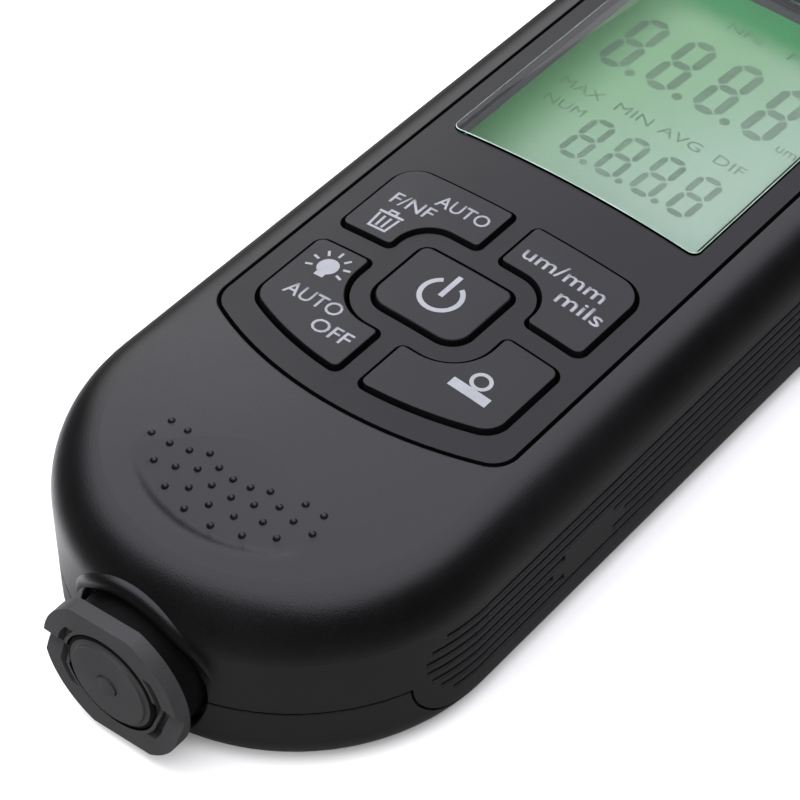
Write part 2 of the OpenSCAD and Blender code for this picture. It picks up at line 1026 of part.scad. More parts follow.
module probe_core() {
    tip_y = disc_y - step_out - tip_out;
    color([0.7, 0.7, 0.72])
        difference() {
            union() {
                bar(tip_y + 0.5, tube_end + clip_t + 1, core_r);
                intersection() {
                    translate([0, tip_y + 1.6, probe_z])
                        sphere(1.6);
                    bar(tip_y, tip_y + 1, core_r);
                }
                bar(disc_y + 6, disc_y + cup_len - 0.4, plunger_r - 1.1);
            }
            bar(tube_end + clip_t + 0.7, tube_end + clip_t + 2, 0.6);
        }
}

module probe_coil() {
    color([0.75, 0.4, 0.2])
        difference() {
            bar(disc_y + 1.6, disc_y + 6, plunger_r - 1.6);
            bar(disc_y, disc_y + 8, core_r);
        }
}

module probe_spring() {
    y1 = disc_y + cup_len + plunger_travel + 0.2;
    y2 = tube_end - plug_t;
    n = 4;
    color([0.75, 0.75, 0.75])
        for (i = [0 : n - 1])
            translate([0, y2 - 0.42 - i * (y2 - y1 - 0.84) / (n - 1), probe_z])
                rotate([90, 0, 0])
                    rotate_extrude($fn = 48)
                        translate([3.6, 0])
                            circle(0.42, $fn = 24);
}

module probe_plug() {
    color([0.3, 0.3, 0.31])
        difference() {
            bar(tube_end - plug_t, tube_end, bore_r);
            bar(tube_end - plug_t - 1, tube_end + 1, core_r + stem_fit);
        }
}

module probe_clip() {
    color([0.7, 0.7, 0.7])
        difference() {
            bar(tube_end + 0.02, tube_end + clip_t, clip_r);
            bar(tube_end - 1, tube_end + clip_t + 1, core_r);
        }
}

front_case();
rear_case();
face_plate();
lcd_window();
lcd_gasket();
lcd_glass();
lcd_holder();
light_guide();
lamp_diodes();
contact_strips();
key_mode();
key_light();
key_power();
key_unit();
key_zero();
pill_mode();
pill_light();
pill_power();
pill_unit();
pill_zero();
circuit_board();
chips();
buzzer();
probe_socket();
battery_door();
cell_left();
cell_right();
spring_contacts();
plate_contacts();
case_screws();
probe_collar();
probe_plunger();
probe_core();
probe_coil();
probe_spring();
probe_plug();
probe_clip();
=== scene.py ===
import math

import bmesh
import bpy
from mathutils import Matrix, Vector
from mathutils.bvhtree import BVHTree


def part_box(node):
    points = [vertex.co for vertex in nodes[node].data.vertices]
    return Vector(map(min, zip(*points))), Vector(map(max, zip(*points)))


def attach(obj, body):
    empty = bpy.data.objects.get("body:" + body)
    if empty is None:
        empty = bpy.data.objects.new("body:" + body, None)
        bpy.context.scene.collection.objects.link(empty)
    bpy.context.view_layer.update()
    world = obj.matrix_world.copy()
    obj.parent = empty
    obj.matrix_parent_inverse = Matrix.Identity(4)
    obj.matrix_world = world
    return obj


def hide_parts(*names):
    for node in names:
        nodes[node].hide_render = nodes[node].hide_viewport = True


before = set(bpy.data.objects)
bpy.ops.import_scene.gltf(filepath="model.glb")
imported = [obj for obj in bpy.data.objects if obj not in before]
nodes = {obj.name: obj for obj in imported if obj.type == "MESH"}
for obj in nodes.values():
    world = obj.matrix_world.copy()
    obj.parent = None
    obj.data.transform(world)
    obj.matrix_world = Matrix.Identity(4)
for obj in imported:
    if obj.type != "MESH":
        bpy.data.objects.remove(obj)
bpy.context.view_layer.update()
scene = bpy.context.scene
mm = 0.001
padLow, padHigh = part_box("key_power")
padY = (padLow.y + padHigh.y) / 2 / mm  # middle of the keypad, in millimetres
probeAxis = 11.0  # height of the probe's axis, in millimetres
print("frame loaded:", len(nodes), "nodes")


# node helpers

def addNode(tree, kind, inputs=None, **settings):
    node = tree.nodes.new(kind)
    for name, value in settings.items():
        setattr(node, name, value)
    for name, value in (inputs or {}).items():
        node.inputs[name].default_value = value
    return node


def join(tree, source, target):
    tree.links.new(source, target)


def placeOf(tree):
    return addNode(tree, "ShaderNodeTexCoord").outputs["Object"]


def axesOf(tree):
    spot = addNode(tree, "ShaderNodeSeparateXYZ")
    join(tree, placeOf(tree), spot.inputs["Vector"])
    return spot.outputs


def noiseOf(tree, **inputs):
    noise = addNode(tree, "ShaderNodeTexNoise", inputs)
    join(tree, placeOf(tree), noise.inputs["Vector"])
    return noise


def mathOf(tree, operation, first, second=None):
    node = addNode(tree, "ShaderNodeMath", operation=operation)
    for i, value in enumerate((first, second)):
        if value is None:
            continue
        if isinstance(value, (int, float)):
            node.inputs[i].default_value = value
        else:
            join(tree, value, node.inputs[i])
    return node.outputs[0]


def rangeOf(tree, value, low, high, toLow=0.0, toHigh=1.0):
    limits = {"From Min": low, "From Max": high, "To Min": toLow, "To Max": toHigh}
    node = addNode(tree, "ShaderNodeMapRange", limits, interpolation_type="SMOOTHSTEP")
    join(tree, value, node.inputs["Value"])
    return node.outputs["Result"]


def mixColour(tree, factor, first, second):
    node = addNode(tree, "ShaderNodeMix", data_type="RGBA")
    join(tree, factor, node.inputs[0])
    for socket, value in ((node.inputs[6], first), (node.inputs[7], second)):
        if isinstance(value, tuple):
            socket.default_value = (*value, 1)
        else:
            join(tree, value, socket)
    return node.outputs[2]


def newGroup(name, inputs, outputs):
    group = bpy.data.node_groups.new(name, "ShaderNodeTree")
    sockets = group.interface
    for label, value in inputs.items():
        made = sockets.new_socket(label, in_out="INPUT", socket_type="NodeSocketFloat")
        made.default_value = value
    for label in outputs:
        sockets.new_socket(label, in_out="OUTPUT", socket_type="NodeSocketFloat")
    return group, group.nodes.new("NodeGroupInput"), group.nodes.new("NodeGroupOutput")


def newMaterial(name):
    mat = bpy.data.materials.new(name)
    mat.use_nodes = True
    tree = mat.node_tree
    tree.nodes.clear()
    out = addNode(tree, "ShaderNodeOutputMaterial")
    shader = addNode(tree, "ShaderNodeBsdfPrincipled")
    join(tree, shader.outputs["BSDF"], out.inputs["Surface"])
    return mat, tree, shader


def swapForRay(tree, ray, shader, other):
    out = next(n for n in tree.nodes if n.type == "OUTPUT_MATERIAL")
    path = addNode(tree, "ShaderNodeLightPath")
    blend = addNode(tree, "ShaderNodeMixShader")
    join(tree, path.outputs[ray], blend.inputs[0])
    join(tree, shader.outputs["BSDF"], blend.inputs[1])
    join(tree, other.outputs["BSDF"], blend.inputs[2])
    join(tree, blend.outputs["Shader"], out.inputs["Surface"])


# shared effects

grainMix = {"grain": 0.45, "blotch": 0.55, "tone": (0.3, 0.7), "swing": 0.3}


def makeMouldGrain():
    usual = {"Grain Scale": 5000, "Blotch Scale": 70, "Roughness": 0.5}
    group, given, made = newGroup("mouldGrain", usual, ("Tone", "Roughness", "Height"))
    fine = noiseOf(group, Detail=2.0, Roughness=0.6)
    coarse = noiseOf(group, Detail=3.0, Roughness=0.55)
    join(group, given.outputs["Grain Scale"], fine.inputs["Scale"])
    join(group, given.outputs["Blotch Scale"], coarse.inputs["Scale"])
    grain, blotch = fine.outputs["Fac"], coarse.outputs["Fac"]
    tone = mathOf(group, "ADD", mathOf(group, "MULTIPLY", grain, grainMix["grain"]),
                  mathOf(group, "MULTIPLY", blotch, grainMix["blotch"]))
    join(group, rangeOf(group, tone, *grainMix["tone"]), made.inputs["Tone"])
    swing = mathOf(group, "MULTIPLY", mathOf(group, "SUBTRACT", tone, 0.5), grainMix["swing"])
    rough = mathOf(group, "ADD", given.outputs["Roughness"], swing)
    join(group, rough, made.inputs["Roughness"])
    join(group, grain, made.inputs["Height"])
    return group


speck = {"core": 0.01, "rim": 0.045, "cover": 0.25, "grey": (0.3, 0.3, 0.3)}


def makeDust():
    group, given, made = newGroup("dustSpecks", {"Speck Scale": 260, "Share": 0.05}, ("Mask",))
    cells = addNode(group, "ShaderNodeTexVoronoi", {"Randomness": 1.0})
    join(group, placeOf(group), cells.inputs["Vector"])
    join(group, given.outputs["Speck Scale"], cells.inputs["Scale"])
    pick = addNode(group, "ShaderNodeSeparateColor")
    join(group, cells.outputs["Color"], pick.inputs["Color"])
    chosen = mathOf(group, "LESS_THAN", pick.outputs["Red"], given.outputs["Share"])
    spot = rangeOf(group, cells.outputs["Distance"], speck["core"], speck["rim"], 1.0, 0.0)
    join(group, mathOf(group, "MULTIPLY", chosen, spot), made.inputs["Mask"])
    return group


mouldGrain, dustSpecks = makeMouldGrain(), makeDust()


# moulded and metal finishes; lengths in millimetres

def dishEdge(tree, dish, plain):
    # widens the soft edge along the front rim of the thumb dish
    gap = addNode(tree, "ShaderNodeVectorMath", operation="DISTANCE")
    gap.inputs[1].default_value = (0, dish["middle"] * mm, dish["top"] * mm)
    join(tree, placeOf(tree), gap.inputs[0])
    away, ramp, reach = gap.outputs["Value"], dish["ramp"], dish["reach"]
    inner = rangeOf(tree, away, dish["from"] * mm, (dish["from"] + ramp) * mm)
    outer = rangeOf(tree, away, dish["to"] * mm, (dish["to"] + ramp) * mm, 1.0, 0.0)
    front = rangeOf(tree, axesOf(tree)["Y"], (dish["middle"] - reach) * mm,
                    (dish["middle"] + reach) * mm, 1.0, 0.0)
    ring = mathOf(tree, "MULTIPLY", mathOf(tree, "MULTIPLY", inner, outer), front)
    return mathOf(tree, "ADD", mathOf(tree, "MULTIPLY", ring, dish["soft"] * mm), plain * mm)


grainDepth = 0.05


def mouldedMaterial(look):
    mat, tree, shader = newMaterial(look["name"])
    grain = addNode(tree, "ShaderNodeGroup", node_tree=mouldGrain)
    for label in ("Grain Scale", "Blotch Scale", "Roughness"):
        grain.inputs[label].default_value = look[label]
    colour = mixColour(tree, grain.outputs["Tone"], look["dark"], look["light"])
    if look.get("dust"):
        dust = addNode(tree, "ShaderNodeGroup", {"Share": look["dust"]}, node_tree=dustSpecks)
        cover = mathOf(tree, "MULTIPLY", dust.outputs["Mask"], speck["cover"])
        colour = mixColour(tree, cover, colour, speck["grey"])
    join(tree, colour, shader.inputs["Base Color"])
    join(tree, grain.outputs["Roughness"], shader.inputs["Roughness"])
    shader.inputs["Metallic"].default_value = look.get("metal", 0.0)
    shader.inputs["Specular IOR Level"].default_value = look.get("gloss", 0.5)
    bump = addNode(tree, "ShaderNodeBump",
                   {"Strength": look["bump"], "Distance": grainDepth * mm})
    join(tree, grain.outputs["Height"], bump.inputs["Height"])
    if look.get("edge"):
        edge = addNode(tree, "ShaderNodeBevel", {"Radius": look["edge"] * mm}, samples=6)
        if look.get("dish"):
            join(tree, dishEdge(tree, look["dish"], look["edge"]), edge.inputs["Radius"])
        join(tree, edge.outputs["Normal"], bump.inputs["Normal"])
    join(tree, bump.outputs["Normal"], shader.inputs["Normal"])
    return mat


caseLook = {
    "name": "casePlastic", "Grain Scale": 6200, "Blotch Scale": 60, "Roughness": 0.34,
    "dark": (0.002, 0.002, 0.0021), "light": (0.0042, 0.0042, 0.0045),
    "bump": 0.5, "edge": 0.25, "dust": 0.03,
    "dish": {"middle": padY - 28.5, "top": 26.0, "from": 15.4, "to": 19.5, "ramp": 0.5,
             "reach": 1.0, "soft": 1.6}}
panelLook = {
    "name": "panelPlastic", "Grain Scale": 6500, "Blotch Scale": 60, "Roughness": 0.42,
    "dark": (0.002, 0.002, 0.0021), "light": (0.0042, 0.0042, 0.0045),
    "bump": 0.4, "dust": 0.03, "gloss": 0.36}
keyLook = {
    "name": "keyRubber", "Grain Scale": 7000, "Blotch Scale": 80, "Roughness": 0.44,
    "dark": (0.0025, 0.0025, 0.0028), "light": (0.0045, 0.0045, 0.005),
    "bump": 0.35, "dust": 0.03, "gloss": 0.45}
probeLook = {
    "name": "probePlastic", "Grain Scale": 6000, "Blotch Scale": 110, "Roughness": 0.5,
    "dark": (0.024, 0.024, 0.0246), "light": (0.036, 0.036, 0.037), "bump": 0.3, "gloss": 0.25}
probePaintedShadeLook = {  # painted shade: near black on the ring between plunger and collar, and on the probe's neck
    "name": "probePaintedShade", "Grain Scale": 6000, "Blotch Scale": 110, "Roughness": 0.7,
    "dark": (0.0015, 0.0015, 0.0015), "light": (0.003, 0.003, 0.003), "bump": 0.2, "gloss": 0.15}
foamLook = {
    "name": "blackFoam", "Grain Scale": 2600, "Blotch Scale": 200, "Roughness": 0.85,
    "dark": (0.006, 0.006, 0.006), "light": (0.014, 0.014, 0.014), "bump": 0.8, "gloss": 0.2}
steelLook = {
    "name": "zincSteel", "Grain Scale": 3800, "Blotch Scale": 160, "Roughness": 0.32,
    "dark": (0.3, 0.3, 0.31), "light": (0.5, 0.5, 0.51), "bump": 0.25, "metal": 1.0}
boardLook = {
    "name": "boardLacquer", "Grain Scale": 1500, "Blotch Scale": 240, "Roughness": 0.35,
    "dark": (0.01, 0.06, 0.03), "light": (0.02, 0.12, 0.06), "bump": 0.3}
creamLook = {
    "name": "creamPlastic", "Grain Scale": 4000, "Blotch Scale": 120, "Roughness": 0.5,
    "dark": (0.5, 0.47, 0.4), "light": (0.66, 0.63, 0.56), "bump": 0.2}
cellLook = {
    "name": "cellWrap", "Grain Scale": 2500, "Blotch Scale": 90, "Roughness": 0.3,
    "dark": (0.25, 0.2, 0.07), "light": (0.4, 0.32, 0.1), "bump": 0.1}
copperLook = {
    "name": "coilWire", "Grain Scale": 3000, "Blotch Scale": 200, "Roughness": 0.35,
    "dark": (0.35, 0.13, 0.05), "light": (0.55, 0.22, 0.09), "bump": 0.6, "metal": 1.0}
guideLook = {
    "name": "milkyGuide", "Grain Scale": 900, "Blotch Scale": 60, "Roughness": 0.4,
    "dark": (0.2, 0.5, 0.26), "light": (0.32, 0.65, 0.4), "bump": 0.1}
inkLook = {
    "name": "legendInk", "Grain Scale": 6000, "Blotch Scale": 300, "Roughness": 0.5,
    "dark": (0.215, 0.224, 0.243), "light": (0.275, 0.285, 0.309), "bump": 0.15}
# painted highlight: opaque pale green on the lens's rounded top edge
lensEdgeHighlightLook = {
    "name": "lensEdgeHighlight", "Grain Scale": 900, "Blotch Scale": 140, "Roughness": 0.25,
    "dark": (0.22, 0.34, 0.27), "light": (0.42, 0.54, 0.47), "bump": 0.1}
mats = {look["name"]: mouldedMaterial(look) for look in (
    caseLook, panelLook, keyLook, probeLook, probePaintedShadeLook, foamLook, steelLook, boardLook, creamLook,
    cellLook, copperLook, guideLook, inkLook, lensEdgeHighlightLook)}


# the clear window

lensLook = {"tint": (0.97, 1.0, 0.985), "index": 1.49, "mirror": (0.1, 0.105, 0.1),
            "haze": (0.004, 0.012), "hazeScale": 900.0, "shadow": (0.93, 0.97, 0.94)}


def lensMaterial():
    mat, tree, shader = newMaterial("clearLens")
    shader.inputs["Base Color"].default_value = (*lensLook["tint"], 1)
    shader.inputs["Transmission Weight"].default_value = 1.0
    shader.inputs["IOR"].default_value = lensLook["index"]
    shader.inputs["Specular Tint"].default_value = (*lensLook["mirror"], 1)
    haze = noiseOf(tree, Scale=lensLook["hazeScale"], Detail=2.0)
    rough = rangeOf(tree, haze.outputs["Fac"], 0.4, 0.8, *lensLook["haze"])
    join(tree, rough, shader.inputs["Roughness"])
    clear = addNode(tree, "ShaderNodeBsdfTransparent", {"Color": (*lensLook["shadow"], 1)})
    swapForRay(tree, "Is Shadow Ray", shader, clear)  # lets the light down to the display
    return mat


# the display's painted light: a painted backlight glow, leaf green to pale with a painted
# reflection on the pale side, painted shade deep at its left edge, painted glow vivid at its top

displayLook = {"pale": (0.143, 0.187, 0.16), "leaf": (0.077, 0.141, 0.078),
               "paintedShadeGreen": (0.004, 0.045, 0.006), "paintedGlowGreen": (0.002, 0.078, 0.016),
               "lean": 0.55, "leanFrom": 13.5, "leafToPale": (-34.0, 6.0), "side": 10.0,
               "top": (64.0, 70.0), "paintedBacklightGlow": 0.25, "rough": 0.5, "gloss": 0.05}


def displayMaterial(look):
    mat, tree, shader = newMaterial("displayField")
    axes = axesOf(tree)
    x, y = axes["X"], axes["Y"]
    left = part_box("lcd_glass")[0].x
    lean = mathOf(tree, "SUBTRACT", y, (padY + look["leanFrom"]) * mm)
    slope = mathOf(tree, "SUBTRACT", x, mathOf(tree, "MULTIPLY", lean, look["lean"]))
    # leaf green to pale across a slant; the pale side is partly a painted reflection
    across = rangeOf(tree, slope, *(d * mm for d in look["leafToPale"]))
    field = mixColour(tree, across, look["leaf"], look["pale"])
    # painted shade: deep green along the left edge
    side = rangeOf(tree, x, left, left + look["side"] * mm, 1.0, 0.0)
    field = mixColour(tree, side, field, look["paintedShadeGreen"])
    # painted backlight glow: vivid green towards the top
    top = rangeOf(tree, y, *((padY + d) * mm for d in look["top"]))
    field = mixColour(tree, top, field, look["paintedGlowGreen"])
    join(tree, field, shader.inputs["Base Color"])
    # the whole field glows: a painted backlight glow
    join(tree, field, shader.inputs["Emission Color"])
    shader.inputs["Emission Strength"].default_value = look["paintedBacklightGlow"]
    shader.inputs["Roughness"].default_value = look["rough"]
    shader.inputs["Specular IOR Level"].default_value = look["gloss"]
    return mat


segmentLook = {"dark": (0.008, 0.02, 0.012), "light": (0.016, 0.03, 0.022), "scale": 160.0,
               "cover": (0.15, 0.21), "rough": 0.5, "gloss": 0.05}


def segmentMaterial(look):
    mat, tree, shader = newMaterial("displaySegment")
    shade = noiseOf(tree, Scale=look["scale"], Detail=2.0).outputs["Fac"]
    join(tree, mixColour(tree, shade, look["dark"], look["light"]), shader.inputs["Base Color"])
    join(tree, rangeOf(tree, shade, 0.3, 0.7, *look["cover"]), shader.inputs["Alpha"])
    shader.inputs["Roughness"].default_value = look["rough"]
    shader.inputs["Specular IOR Level"].default_value = look["gloss"]
    return mat


mats["clearLens"] = lensMaterial()
mats["displayField"] = displayMaterial(displayLook)
mats["displaySegment"] = segmentMaterial(segmentLook)

finishOf = {
    "casePlastic": ("front_case", "rear_case", "battery_door"),
    "panelPlastic": ("face_plate",),
    "keyRubber": ("key_mode", "key_light", "key_power", "key_unit", "key_zero"),
    "clearLens": ("lcd_window",),
    "displayField": ("lcd_glass",),
    "blackFoam": ("lcd_gasket", "contact_strips", "chips", "buzzer", "pill_mode", "pill_light",
                  "pill_power", "pill_unit", "pill_zero"),
    "creamPlastic": ("lcd_holder", "lamp_diodes", "probe_socket"),
    "milkyGuide": ("light_guide",),
    "boardLacquer": ("circuit_board",),
    "cellWrap": ("cell_left", "cell_right"),
    "zincSteel": ("spring_contacts", "plate_contacts", "case_screws", "probe_spring",
                  "probe_clip"),
    "probePlastic": ("probe_collar", "probe_plunger", "probe_plug", "probe_core"),
    "coilWire": ("probe_coil",),
}
for finish, members in finishOf.items():
    for node in members:
        nodes[node].data.materials.clear()
        nodes[node].data.materials.append(mats[finish])
print("finishes set:", len(mats))


def addPiece(bm, name, *finishes):
    mesh = bpy.data.meshes.new(name)
    bm.to_mesh(mesh)
    bm.free()
    for finish in finishes:
        mesh.materials.append(finish)
    piece = bpy.data.objects.new(name, mesh)
    scene.collection.objects.link(piece)
    return piece


# moulded pieces with their edges rounded, each made from its solid

keyTopEdge = {"width": 0.3, "above": 24.5}
keyCorner = {"width": 0.9, "upright": True}
rounding = {
    "key_mode": {"body": "mode_key", "slot": "key", "cuts": [keyTopEdge]},
    "key_light": {"body": "light_key", "slot": "key", "cuts": [keyCorner, keyTopEdge]},
    "key_power": {"body": "power_key", "slot": "key", "cuts": [keyTopEdge]},
    "key_unit": {"body": "unit_key", "slot": "key", "cuts": [keyTopEdge]},
    "key_zero": {"body": "zero_key", "slot": "key", "cuts": [keyCorner, keyTopEdge]},
    "face_plate": {
        "body": "gauge", "slot": "panel",
        "cuts": [{"width": 1.4, "upright": True}, {"width": 0.2, "above": 25.0}]},
    "lcd_window": {
        "body": "gauge", "slot": "lens", "second": "lensEdgeHighlight",
        "cuts": [{"width": 0.34, "above": 25.2, "marked": True}]},
    "probe_collar": {
        "body": "gauge", "slot": "probe", "second": "probePaintedShade", "shade": padY - 56.2,
        "cuts": [{"width": 0.4, "ring": (6.3, 7.1), "front": padY - 58.0, "marked": True},
                 {"width": 0.22, "ring": (7.2, 12), "front": padY - 56.4}]},
    "probe_plunger": {
        "body": "plunger", "slot": "probe", "second": "probePaintedShade",
        "cuts": [{"width": 0.55, "ring": (6.2, 7.1), "front": padY - 58.0, "marked": True},
                 {"width": 0.2, "ring": (0, 6.1), "front": padY - 57.5}]},
}
edgeRules = {"cutAbove": math.radians(38), "smoothBelow": math.radians(32),
             "flatBelow": math.radians(0.3), "weld": 2e-6}


def isUpright(ends):
    return abs(ends[0].z - ends[1].z) > 2 and (ends[0].xy - ends[1].xy).length < 0.1


def isInReach(ends, cut):
    if min(p.z for p in ends) < cut.get("above", -1):
        return False
    if max(p.y for p in ends) > cut.get("front", 100):
        return False
    inner, outer = cut.get("ring", (0, 1000))  # distances from the probe's axis
    return all(inner < math.hypot(p.x, p.z - probeAxis) < outer for p in ends)


def pickEdges(bm, cut):
    picked = []
    for e in bm.edges:
        if len(e.link_faces) != 2 or e.calc_face_angle(0) < edgeRules["cutAbove"]:
            continue
        ends = [v.co / mm for v in e.verts]
        if isUpright(ends) if cut.get("upright") else isInReach(ends, cut):
            picked.append(e)
    return picked


def roundEdges(node, look):
    bm = bmesh.new()
    bm.from_mesh(nodes[node].data)
    bmesh.ops.remove_doubles(bm, verts=bm.verts, dist=edgeRules["weld"])
    bmesh.ops.dissolve_limit(bm, angle_limit=edgeRules["flatBelow"], verts=bm.verts,
                             edges=bm.edges)
    # faces behind the given depth take the second finish, the probe's painted shade
    if look.get("shade"):
        for f in bm.faces:
            f.material_index = int(f.calc_center_median().y > look["shade"] * mm)
    done = 0
    for cut in look["cuts"]:
        picked = pickEdges(bm, cut)
        done += len(picked)
        made = bmesh.ops.bevel(bm, geom=picked, offset=cut["width"] * mm, offset_type="OFFSET",
                               affect="EDGES", segments=6 if cut.get("upright") else 3,
                               profile=0.5, material=-1, clamp_overlap=True)
        # marked bevels take the second finish: a painted highlight on the lens edge, painted shade
        # on the probe's rings
        if cut.get("marked"):
            for f in made["faces"]:
                f.material_index = 1
    bmesh.ops.recalc_face_normals(bm, faces=bm.faces)
    for f in bm.faces:
        f.smooth = True
    for e in bm.edges:
        e.smooth = len(e.link_faces) == 2 and e.calc_face_angle(0) < edgeRules["smoothBelow"]
    finishes = [nodes[node].data.materials[0]]
    if look.get("second"):
        finishes.append(mats[look["second"]])
    piece = addPiece(bm, node + "_round", *finishes)
    piece.modifiers.new("evenShade", "WEIGHTED_NORMAL").keep_sharp = True
    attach(piece, look["body"])
    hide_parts(node)
    print("rounded", node, done, "edges")


for node, look in rounding.items():
    roundEdges(node, look)


# soft lip over the probe's mouth, swept round the probe and laid on the case front

lip = {"radius": 10.55, "tube": 1.25, "from": -18.0, "turn": 216.0, "sides": 20, "steps": 84,
       "sunk": 0.65, "thinnest": 0.05}


def makeLip():
    case = bmesh.new()
    for node in ("front_case", "rear_case"):
        case.from_mesh(nodes[node].data)
    wall = BVHTree.FromBMesh(case)
    case.free()
    bm = bmesh.new()
    start = Matrix.Translation((lip["radius"], 0, 0))
    ring = bmesh.ops.create_circle(bm, cap_ends=False, radius=lip["tube"], segments=lip["sides"],
                                   matrix=start)["verts"]
    edges = list({e for v in ring for e in v.link_edges})
    turn = Matrix.Rotation(math.radians(-lip["from"]), 3, "Y")
    bmesh.ops.rotate(bm, cent=(0, 0, 0), matrix=turn, verts=ring)
    bmesh.ops.spin(bm, geom=ring + edges, cent=(0, 0, 0), axis=(0, -1, 0),
                   angle=math.radians(lip["turn"]), steps=lip["steps"], use_merge=False)
    half = math.radians(lip["turn"]) / 2
    for v in bm.verts:
        angle = math.atan2(v.co.z, v.co.x)
        core = Vector((math.cos(angle), 0, math.sin(angle))) * lip["radius"]
        past = angle if angle > -math.pi / 2 else angle + 2 * math.pi
        thin = 1 - (abs(past - math.pi / 2) / half) ** 2  # fades out towards both ends
        ahead = Vector((core.x * mm, -0.1, (core.z + probeAxis) * mm))
        hit = wall.ray_cast(ahead, Vector((0, 1, 0)))[0]
        v.co = core + (v.co - core) * max(thin, lip["thinnest"])
        v.co.y += hit.y / mm + lip["sunk"]
        v.co.z += probeAxis
    bmesh.ops.recalc_face_normals(bm, faces=bm.faces)
    bmesh.ops.scale(bm, vec=(mm, mm, mm), verts=bm.verts)
    for f in bm.faces:
        f.smooth = True
    piece = addPiece(bm, "mouth_lip", mats["casePlastic"])
    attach(piece, "gauge")


makeLip()
print("mouth lip swept")


# flat shapes for legends and display marks, drawn in millimetres on the XY plane

def addWords(bm, words, left, base, width, height, weight=0.0):
    curve = bpy.data.curves.new("words", "FONT")
    curve.body = words
    curve.resolution_u = 3
    curve.offset = weight
    drawn = bpy.data.objects.new("words", curve)
    scene.collection.objects.link(drawn)
    bpy.context.view_layer.update()
    ready = drawn.evaluated_get(bpy.context.evaluated_depsgraph_get())
    mesh = bpy.data.meshes.new_from_object(ready)
    xs, ys = [v.co.x for v in mesh.vertices], [v.co.y for v in mesh.vertices]
    fit = Matrix.Diagonal((width / (max(xs) - min(xs)), height / (max(ys) - min(ys)), 1, 1))
    toZero = Matrix.Translation((-min(xs), -min(ys), 0))
    mesh.transform(Matrix.Translation((left, base, 0)) @ fit @ toZero)
    bm.from_mesh(mesh)
    bpy.data.objects.remove(drawn)
    bpy.data.curves.remove(curve)
    bpy.data.meshes.remove(mesh)


def addBar(bm, start, end, width):
    start, end = Vector((*start, 0)), Vector((*end, 0))
    along = end - start
    turn = Matrix.Rotation(math.atan2(along.y, along.x), 4, "Z")
    stretch = Matrix.Diagonal((along.length, width, 1, 1))
    bmesh.ops.create_grid(bm, x_segments=1, y_segments=1, size=0.5,
                          matrix=Matrix.Translation((start + end) / 2) @ turn @ stretch)


def addArc(bm, centre, radius, width, startDeg, turnDeg, steps=40):
    turn = Matrix.Rotation(math.radians(startDeg), 3, "Z")
    middle = Vector((*centre, 0))
    ends = [bm.verts.new(middle + turn @ Vector((radius + side * width / 2, 0, 0)))
            for side in (-1, 1)]
    bmesh.ops.spin(bm, geom=ends + [bm.edges.new(ends)], cent=middle, axis=(0, 0, 1),
                   angle=math.radians(turnDeg), steps=steps, use_merge=abs(turnDeg) >= 360)


def addDisc(bm, centre, radius):
    bmesh.ops.create_circle(bm, cap_ends=True, radius=radius, segments=36,
                            matrix=Matrix.Translation((*centre, 0)))


def finishFlat(bm, name, mat, body, offset, thick, height):
    bmesh.ops.remove_doubles(bm, verts=bm.verts, dist=1e-4)
    xs = [v.co.x for v in bm.verts]
    for cut in range(math.floor(min(xs)) + 1, math.ceil(max(xs))):
        # cross cuts let the print follow the crown
        bmesh.ops.bisect_plane(bm, geom=bm.verts[:] + bm.edges[:] + bm.faces[:], dist=1e-5,
                               plane_co=(cut, 0, 0), plane_no=(1, 0, 0))
    for v in bm.verts:
        v.co.x += offset[0]
        v.co.y += offset[1]
        v.co.z = height(v.co.x)
    bmesh.ops.recalc_face_normals(bm, faces=bm.faces)
    for f in bm.faces:
        if f.normal.z < 0:
            f.normal_flip()
    bmesh.ops.solidify(bm, geom=bm.faces[:], thickness=thick)
    bmesh.ops.scale(bm, vec=(mm, mm, mm), verts=bm.verts)
    piece = addPiece(bm, name, mat)
    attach(piece, body)


# key legends, laid out about the middle of the power key

keypad = {"middle": (-0.24, padY + 0.3), "crown": 155.0, "top": padHigh.z / mm, "lift": 0.02,
          "ink": 0.04, "weight": 0.008}


def keyTop(x):
    drop = keypad["crown"] - math.sqrt(keypad["crown"] ** 2 - x * x)
    return keypad["top"] - drop + keypad["lift"]


def addLegendWords(bm, rows):
    for words, left, base, width, height in rows:
        addWords(bm, words, left, base, width, height, keypad["weight"])


powerMark = {"centre": (0.4, -0.35), "radius": 2.62, "stroke": 0.65, "open": 64, "bar": 4.1,
             "drop": 0.2, "barStroke": 0.7}


def drawPower(bm):
    mark = powerMark
    addArc(bm, mark["centre"], mark["radius"], mark["stroke"], 90 + mark["open"] / 2,
           360 - mark["open"])
    x, y = mark["centre"]
    addBar(bm, (x, y - mark["drop"]), (x, y + mark["bar"] - mark["drop"]), mark["barStroke"])


# words are given as text, left, base line, width and height
modeWords = (("F/NF", -15.6, 9.15, 6.3, 2.15), ("AUTO", -10.6, 11.9, 7.75, 2.15))
basket = {"base": (-13.5, 4.35), "bottom": 1.25, "top": 1.5, "height": 2.6, "line": 0.34,
          "rib": (0.42, 0.5), "ribEnds": (0.35, 0.25), "lid": 1.85, "lidUp": 0.35, "lidLine": 0.4,
          "grip": 0.55, "gripUp": (0.5, 1.05)}


